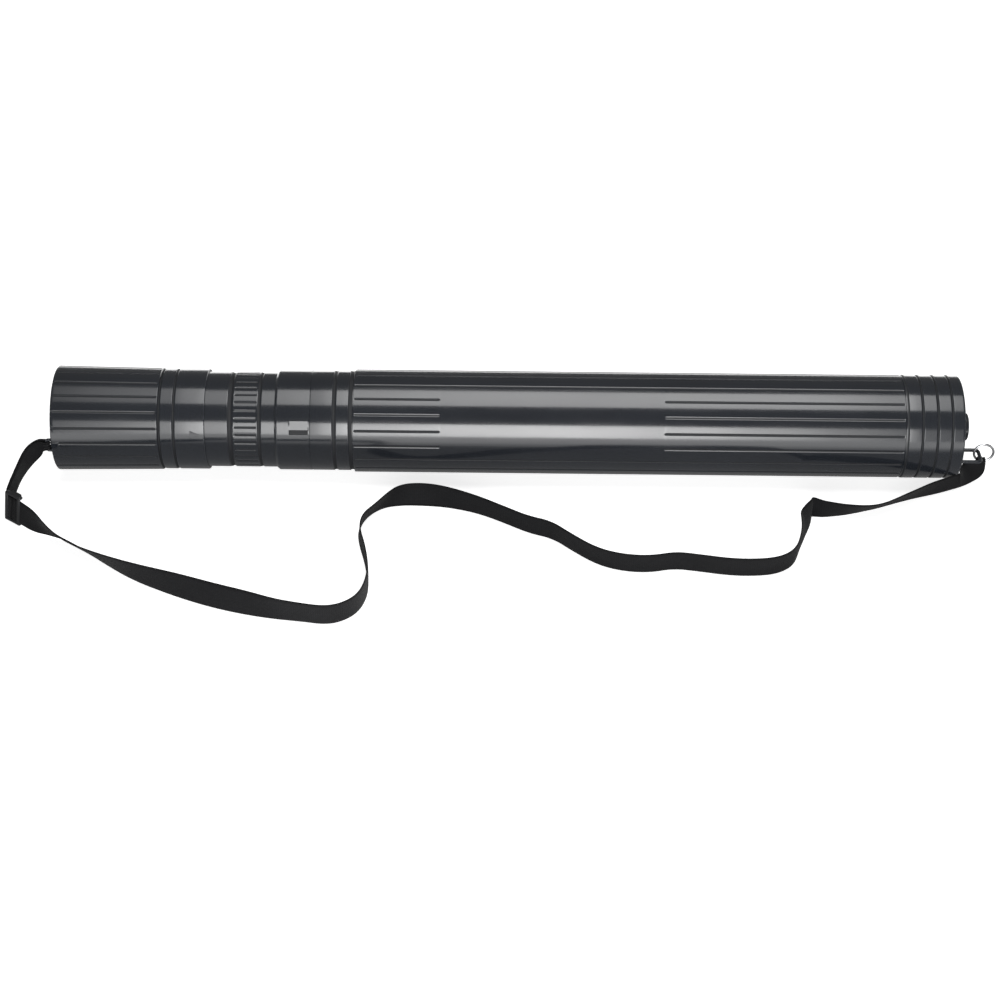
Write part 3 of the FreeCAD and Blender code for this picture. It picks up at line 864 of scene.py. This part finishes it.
def makeLockRing():
    t = lockRing
    radius = t["radius"]
    low, high = math.radians(t["facetLow"]), math.radians(t["facetHigh"])
    rLow, rHigh = radius - t["facetSink"], radius + t["facetRise"]

    def relief(station, angle):
        a = np.radians(angle)
        onFacet = (angle >= t["facetLow"] - 1e-6) * (angle <= t["facetHigh"] + 1e-6)
        along = smoothStep((station - t["facetStart"]) / 0.5)
        facetAlong = along * smoothStep((t["end"] - 0.5 - station) / 0.4)
        chord = rLow * rHigh * math.sin(high - low) / (
            rLow * np.sin(np.clip(a - low, 0, 1)) + rHigh * np.sin(np.clip(high - a, 0, 1)) + 1e-9)
        rise = np.where(onFacet, chord - radius, 0.0) * facetAlong
        slot = smoothStep((angle - t["slotLow"]) / 0.5) * smoothStep((t["facetLow"] - angle) / 0.5)
        return t["slotDepth"] * slot * along - rise

    marks = [t["facetStart"] + d for d in (-0.4, 0.0, 0.15, 0.3, 0.5, 0.8)]
    marks += [t["end"] - d for d in (1.1, 0.95, 0.8, 0.65, 0.5)]
    marks += [186.5, 189.0, 191.5, 197.0, 200.0, 203.0, 206.0]
    corners = [(t["lipStart"], t["bore"], 0.1, 0), (t["lipStart"], t["bore"] + 0.3, 0.1, 1),
               (t["start"], radius, 0.5, 1)]
    corners += stationRun(sorted(marks), radius)
    corners += [(t["end"], radius, 0.4, 1), (t["end"], t["seat"], 0.2, 0),
                (t["seatStart"], t["seat"], 0.2, 0), (t["seatStart"], t["bore"], 0.2, 0)]
    fine = [t["slotLow"] + d for d in (-0.2, 0.0, 0.15, 0.35, 0.5, 0.8, 2.0, 3.4)]
    fine += [t["facetLow"] + d for d in (-0.8, -0.5, -0.3, -0.15, -0.02, 0.0, 0.3)]
    fine += [t["facetHigh"] + d for d in (-0.3, 0.0, 0.05, 0.4)]
    angles = np.unique(np.round(np.concatenate([plainAngles, fine]), 3))
    surface = plainBetween(t["facetStart"] - 0.5, t["end"] - 0.8, radius - 0.2)
    turnedPiece("lockRing", "lock", mouldedPlastic, "lock_ring", corners, angles, relief, surface, 4, 30.0)


frontCollar = {
    "start": 210.5,
    "radius": 41.3,
    "groove": (228.1, 231.9, 0.75),       # start, end and depth
    "neckStart": 241.5,
    "neckRadius": 40.6,
    "end": 244.8,
    "spigot": (201.9, 40.35),
    "tongue": (262.8, 40.54),
    "bore": 39.6,
}


def makeFrontCollar():
    t = frontCollar
    radius = t["radius"]
    spigotStart, spigotRadius = t["spigot"]
    tongueEnd, tongueRadius = t["tongue"]
    corners = [(spigotStart, t["bore"], 0.2, 0), (spigotStart, spigotRadius, 0.2, 0),
               (t["start"], spigotRadius, 0.2, 0), (t["start"], radius, 0.4, 1)]
    corners += vGroove(t["groove"][0], t["groove"][1], radius, t["groove"][2], 0.3)
    corners += [(t["neckStart"], radius, 0.4, 1), (t["neckStart"] + 0.7, t["neckRadius"], 0.25, 1),
                (t["end"], t["neckRadius"], 0.05, 1), (t["end"], tongueRadius, 0.02, 0),
                (tongueEnd, tongueRadius, 0.3, 0), (tongueEnd, t["bore"], 0.2, 0)]
    surface = plainBetween(t["start"] + 1.0, t["end"], radius)
    turnedPiece("frontCollar", "outer", mouldedPlastic, "front_collar", corners, plainAngles, None, surface)


baseCap = {
    "start": 694.6,
    "radius": 42.75,
    "bore": 41.65,
    "lip": 2.0,
    "lipDepth": 0.6,
    "grooves": (708.0, 720.3, 732.1),
    "grooveWidth": 2.4,
    "grooveDepth": 0.85,
    "end": 742.5,
    "recess": (37.0, 14.5, 0.6),          # outer and inner radius and depth of the end's sunk ring
    "bossRadius": 11.5,
    "bossEnd": 751.9,
    "endWall": 2.5,
}


def makeBaseCap():
    t = baseCap
    outside = t["radius"]
    lip, last, wall = t["start"] + t["lip"], t["bossEnd"], t["end"] - t["endWall"]
    sunk = t["end"] - t["recess"][2]
    corners = [(t["start"], t["bore"], 0.2, 0), (t["start"], outside - t["lipDepth"], 0.2, 1),
               (lip, outside - t["lipDepth"], 0.15, 1), (lip + 0.5, outside, 0.3, 1)]
    for middle in t["grooves"]:
        half = t["grooveWidth"] / 2
        corners += vGroove(middle - half, middle + half, outside, t["grooveDepth"], 0.25)
    corners += [
        (t["end"], outside, 1.6, 1), (t["end"], t["recess"][0], 0.4, 1), (sunk, t["recess"][0] - 0.8, 0.4, 1),
        (sunk, t["recess"][1], 0.5, 1), (t["end"], t["bossRadius"], 0.6, 1), (last, t["bossRadius"], 1.3, 1),
        (last, t["bossRadius"] - 3.4, 0.3, 1), (last - 0.7, t["bossRadius"] - 4.0, 0.3, 1),
        (last - 0.7, 0.0, 0.0, 1), (wall, 0.0, 0.0, 0), (wall, t["bore"], 0.2, 0),
    ]
    surface = plainBetween(t["start"] + 0.4, wall, outside)
    turnedPiece("baseCap", "outer", mouldedPlastic, "base_cap", corners, plainAngles, None, surface)


def sweptRod(line, radius, sides=20):
    # a rod with flat ends along a line of points
    line = np.asarray(line, float)
    tangent = unit(np.gradient(line, axis=0))
    side = np.zeros_like(line)
    guide = np.array([0.0, 0.0, 1.0]) if abs(tangent[0][2]) < 0.9 else np.array([0.0, 1.0, 0.0])
    for i, t in enumerate(tangent):
        guide = guide - t * np.dot(guide, t)
        guide = guide / np.linalg.norm(guide)
        side[i] = guide
    other = np.cross(tangent, side)
    turn = np.linspace(0, 2 * math.pi, sides, endpoint=False)
    rings = line[:, None, :] + radius * (np.cos(turn)[None, :, None] * side[:, None, :]
                                         + np.sin(turn)[None, :, None] * other[:, None, :])
    faces = gridFaces(len(line), sides, False, True)
    faces += [tuple(range(sides)), tuple(range((len(line) - 1) * sides, len(line) * sides))]
    return rings.reshape(-1, 3), faces


def arcPoints(centre, first, second, radius, count=7):
    # quarter circle from the side of first to the side of second, which are unit vectors
    return [centre + radius * (math.cos(t) * first + math.sin(t) * second)
            for t in np.linspace(0, math.pi / 2, count)]


def bentBar(t, side):
    # a rod bent to a U: legs along X from the root, and the bar between them along side
    bar, side = np.array(t["bar"]), np.array(side)
    toward = np.array([np.sign(bar[0] - t["root"]), 0.0, 0.0])
    root = np.array([t["root"], bar[1], bar[2]])
    spots = []
    for way in (-1, 1):
        foot = root + way * t["reach"] * side
        corner = bar - t["bend"] * toward + way * (t["reach"] - t["bend"]) * side
        bend = arcPoints(corner, way * side, toward, t["bend"])
        half = [foot, foot + t["stub"] * toward, *bend, bar + way * t["straight"] * side]
        spots += half[::-way]
    return sweptRod(np.array(spots) * mm, t["radius"] * mm)


baseBail = {
    "bar": (382.75, -18.0, 26.2),         # middle of the bar
    "reach": 8.5,                         # from the middle to each leg
    "straight": 2.0,
    "stub": 6.0,                          # straight length of each leg at its root
    "bend": 3.0,
    "radius": 1.5,
    "root": 363.0,
    "padRadius": 2.3,
}


def makeBaseBail():
    t = baseBail
    y, z = t["bar"][1:]
    points, faces = bentBar(t, (0.0, 1.0, 0.0))
    for side in (-1, 1):      # small pads where it springs from the cap
        spots = [(t["root"] + d, y + side * t["reach"], z) for d in (-0.5, 1.5, 2.0)]
        pad, padFaces = sweptRod(np.array(spots) * mm, t["padRadius"] * mm)
        faces += [tuple(k + len(points) for k in f) for f in padFaces]
        points = np.concatenate([points, pad])
    piece = addPiece("baseBail", points, faces, weld=False)
    placePiece(piece, "outer", "tube_plastic", mouldedPlastic)


lidLug = {
    "bar": (-383.0, -40.5, 43.2),
    "reach": 5.0,
    "straight": 1.0,
    "stub": 2.5,
    "bend": 1.6,
    "radius": 1.25,
    "root": -376.5,
}


def makeLidLug():
    points, faces = bentBar(lidLug, (0.0, 0.0, 1.0))
    piece = addPiece("lidLug", points, faces, weld=False)
    placePiece(piece, "lid", "tube_plastic", mouldedPlastic)


indexMark = {
    "angle": 15.3,
    "start": 113.2,
    "tip": 121.2,
    "halfWidth": 3.2,
    "rise": 0.6,
    "bevel": 0.35,
}


def makeIndexMark():
    # raised arrow on the lid's rim band
    t = indexMark
    radius = lid["bandRadius"]
    outline = [(t["start"], -t["halfWidth"]), (t["start"], t["halfWidth"]), (t["tip"], 0.0)]
    points, faces = [], []
    for lift, inset in ((-0.3, 0.0), (t["rise"] - 0.15, 0.0), (t["rise"], t["bevel"])):
        for station, across in outline:
            s = station + (0.5 * inset if station < t["start"] + 1 else -1.3 * inset)
            a = math.radians(t["angle"] + math.degrees((across - np.sign(across) * inset) / radius))
            r = radius + lift
            points.append((lidFace + s * mm, -r * math.cos(a) * mm, axisHeight + r * math.sin(a) * mm))
    for k in (0, 3):
        faces += [(k + i, k + (i + 1) % 3, k + 3 + (i + 1) % 3, k + 3 + i) for i in range(3)]
    faces += [(0, 1, 2), (6, 7, 8)]
    piece = addPiece("indexMark", points, faces, sharp=20.0, weld=False)
    placePiece(piece, "lid", "tube_plastic", mouldedPlastic)


for maker in (makeOuterTube, makeLid, makeInnerTube, makeLockRing, makeFrontCollar, makeBaseCap,
              makeBaseBail, makeLidLug, makeIndexMark):
    maker()
print("stage: tube pieces made")


ring = {
    "middle": (385.7, -18.0, 29.54),
    "radius": 8.0,
    "sides": 72,
    "wireRadius": 1.0,
    "wireSides": 16,
}


def makeRing():
    turns = np.linspace(0, 2 * math.pi, ring["sides"], endpoint=False)[:, None, None]
    section = np.linspace(0, 2 * math.pi, ring["wireSides"], endpoint=False)[None, :, None]
    out = np.concatenate([np.sin(turns), 0 * turns, -np.cos(turns)], axis=2)
    line = np.array(ring["middle"]) + ring["radius"] * out
    points = line + ring["wireRadius"] * (np.cos(section) * out + np.sin(section) * np.array([0, 1, 0]))
    faces = gridFaces(ring["sides"], ring["wireSides"], True, True)
    piece = addPiece("strapRing", points.reshape(-1, 3) * mm, faces, weld=False)
    return placePiece(piece, "ring", "bright_wire", wire, "strap_ring")


slider = {
    "middle": strap["sliderAt"][:2],
    "heading": (-0.80, 0.60),
    "length": 17.0,
    "height": 25.9,
    "rail": 2.7,
    "railRounding": 0.9,
    "step": 3.4,                # how much shorter a rail's back half is at each end
    "bar": 3.2,
    "middleBar": 3.4,
    "barRounding": 0.55,
    "lean": -10.0,
}


def roundedBlock(low, high, rounding):
    shape = bmesh.new()
    bmesh.ops.create_cube(shape, size=1.0)
    low, high = np.array(low, float), np.array(high, float)
    for v in shape.verts:
        v.co = (low + high) / 2 + np.array(v.co[:]) * (high - low)
    bmesh.ops.bevel(shape, geom=list(shape.edges), offset=rounding, segments=3, profile=0.5, affect="EDGES")
    shape.verts.ensure_lookup_table()
    points = np.array([v.co[:] for v in shape.verts])
    faces = [tuple(v.index for v in f.verts) for f in shape.faces]
    shape.free()
    return points, faces


def makeSlider():
    t = slider
    half, top, middleHalf = t["length"] / 2, t["height"], t["middleBar"] / 2
    blocks = []
    for low in (0.0, top - t["rail"]):
        for reach, back, front in ((half, -1.0, 3.0), (half - t["step"], -3.0, 1.0)):
            blocks.append(((-reach, back, low), (reach, front, low + t["rail"]), t["railRounding"]))
    for start, end, back, front in ((-half, -half + t["bar"], 1.6, 3.0), (half - t["bar"], half, 1.6, 3.0),
                                    (-middleHalf, middleHalf, -3.0, -1.6)):
        blocks.append(((start, back, 0.6), (end, front, top - 0.6), t["barRounding"]))
    points, faces = np.zeros((0, 3)), []
    for low, high, rounding in blocks:
        more, moreFaces = roundedBlock(low, high, rounding)
        faces += [tuple(k + len(points) for k in f) for f in moreFaces]
        points = np.concatenate([points, more])
    a = math.radians(t["lean"])
    y, z = points[:, 1].copy(), points[:, 2].copy()
    points[:, 1] = y * math.cos(a) + z * math.sin(a)
    points[:, 2] = -y * math.sin(a) + z * math.cos(a)
    points[:, 2] -= points[:, 2].min()
    hx, hy = t["heading"]
    along, left = points[:, 0].copy(), points[:, 1].copy()
    points[:, 0] = t["middle"][0] + along * hx - left * hy
    points[:, 1] = t["middle"][1] + along * hy + left * hx
    piece = addPiece("strapSlider", points * mm, faces, weld=False)
    return placePiece(piece, "slider", "slider_plastic", sliderPlastic, "strap_slider")


strapRing = makeRing()
strapSlider = makeSlider()


print("stage: strap hardware made")


studio = {
    "floorHalf": 6.0,
    "floorColour": (0.86, 0.86, 0.86),
    "floorGlow": 0.8,
    "background": 1.0,
    "ambient": 0.055,
    "glossSky": 0.16,           # the world as the pieces mirror it
    "glowFrom": 0.75,           # the floor turns plain white between these distances
    "glowTo": 1.15,
    "paintedShadowInGloss": 0.22,          # painted shadow: floor as the pieces mirror it, dim under the tube
    "paintedGlowInGloss": 2.2,            # painted glow: bright well in front of it, though no lamp is there
    "glossFrom": 0.135,
    "glossTo": 0.25,
}

# each soft lamp is a row of panels: middle over y and z, size across, power per square metre, and its
# strength along x
lamps = {
    "top": {"place": (-0.07, 1.2), "depth": 0.79, "power": 14.2, "along": [
        (-0.62, 0.12), (-0.55, 0.20), (-0.44, 0.35), (-0.36, 0.50), (-0.25, 0.75), (-0.12, 0.93), (0.0, 1.0),
        (0.42, 1.0), (0.52, 0.72), (0.61, 0.40), (0.70, 0.2)]},
    "front": {"place": (-1.60, 0.42), "depth": 0.80, "power": 31.0, "along": [
        (-0.62, 0.18), (-0.55, 0.25), (-0.44, 0.50), (-0.25, 0.70), (0.0, 1.0), (0.14, 1.0), (0.30, 0.75),
        (0.42, 0.50), (0.52, 0.28), (0.61, 0.12), (0.70, 0.06)]},
}
panelWidth = 0.13


def rayKind(tree, name):
    return Signal(tree, tree.nodes.new("ShaderNodeLightPath").outputs[name])


def seenRays(tree):
    # 1 where the camera sees a thing, straight or through something clear
    direct, through = rayKind(tree, "Is Camera Ray"), rayKind(tree, "Is Transmission Ray")
    return direct.node("ShaderNodeMath", {0: direct, 1: through}, operation="MAXIMUM")


def addWorld():
    world = bpy.data.worlds.new("studio")
    scene.world = world
    world.use_nodes = True
    tree = world.node_tree
    tree.nodes.clear()
    seen, mirrored = seenRays(tree), rayKind(tree, "Is Glossy Ray")
    amount = (studio["ambient"] + seen * (studio["background"] - studio["ambient"])
              + mirrored * (studio["glossSky"] - studio["ambient"]))
    shade = seen.node("ShaderNodeBackground", {"Color": (1.0, 1.0, 1.0), "Strength": amount})
    Signal.plug(tree, tree.nodes.new("ShaderNodeOutputWorld").inputs[0], shade)


def addFloor():
    mesh = bpy.data.meshes.new("floor")
    far = studio["floorHalf"]
    mesh.from_pydata([(-far, -far, 0), (far, -far, 0), (far, far, 0), (-far, far, 0)], [], [(0, 1, 2, 3)])
    floor = bpy.data.objects.new("floor", mesh)
    scene.collection.objects.link(floor)
    material = bpy.data.materials.new("floor")
    material.use_nodes = True
    tree = material.node_tree
    tree.nodes.clear()
    place = Signal(tree, tree.nodes.new("ShaderNodeTexCoord").outputs["Object"])
    x, y = place.part(0), place.part(1)
    # painted light: as the pieces mirror it, the floor glows, dim under the tube as a painted shadow and
    # bright in front as a painted glow
    mirrored = abs(y).fit(studio["glossFrom"], studio["glossTo"], studio["paintedShadowInGloss"], studio["paintedGlowInGloss"])
    away = (x ** 2 + y ** 2) ** 0.5
    whitened = away.fit(studio["glowFrom"], studio["glowTo"], studio["floorGlow"], 1.0)
    plain = place.node("ShaderNodeBsdfDiffuse", {"Color": studio["floorColour"]})
    glow = place.node("ShaderNodeEmission", {"Color": whitened})
    lit = place.node("ShaderNodeAddShader", {0: plain, 1: glow})
    inView = place.node("ShaderNodeMixShader", {0: seenRays(tree), 1: plain, 2: lit})
    inGloss = place.node("ShaderNodeEmission", {"Color": mirrored})
    whole = place.node("ShaderNodeMixShader", {0: rayKind(tree, "Is Glossy Ray"), 1: inView, 2: inGloss})
    Signal.plug(tree, tree.nodes.new("ShaderNodeOutputMaterial").inputs[0], whole)
    mesh.materials.append(material)


def addLamp(name, y, z, depth, power, along):
    spots, levels = zip(*along)
    outWay = unit(np.array([0.0, y, z - axisHeight]))
    upWay = np.cross(outWay, (1.0, 0.0, 0.0))
    for x in np.arange(spots[0], spots[-1] + 0.01, panelWidth):
        light = bpy.data.lights.new(name, "AREA")
        light.shape = "RECTANGLE"
        light.size, light.size_y = panelWidth, depth
        light.energy = power * panelWidth * depth * float(np.interp(x, spots, levels))
        lamp = bpy.data.objects.new(name, light)
        rows = zip((1, 0, 0), upWay, outWay, (x, y, z))
        lamp.matrix_world = Matrix([*rows, (0, 0, 0, 1)])
        lamp.visible_camera = False
        scene.collection.objects.link(lamp)


addWorld()
addFloor()
for name, row in lamps.items():
    addLamp(name, *row["place"], row["depth"], row["power"], row["along"])
print("stage: studio set")
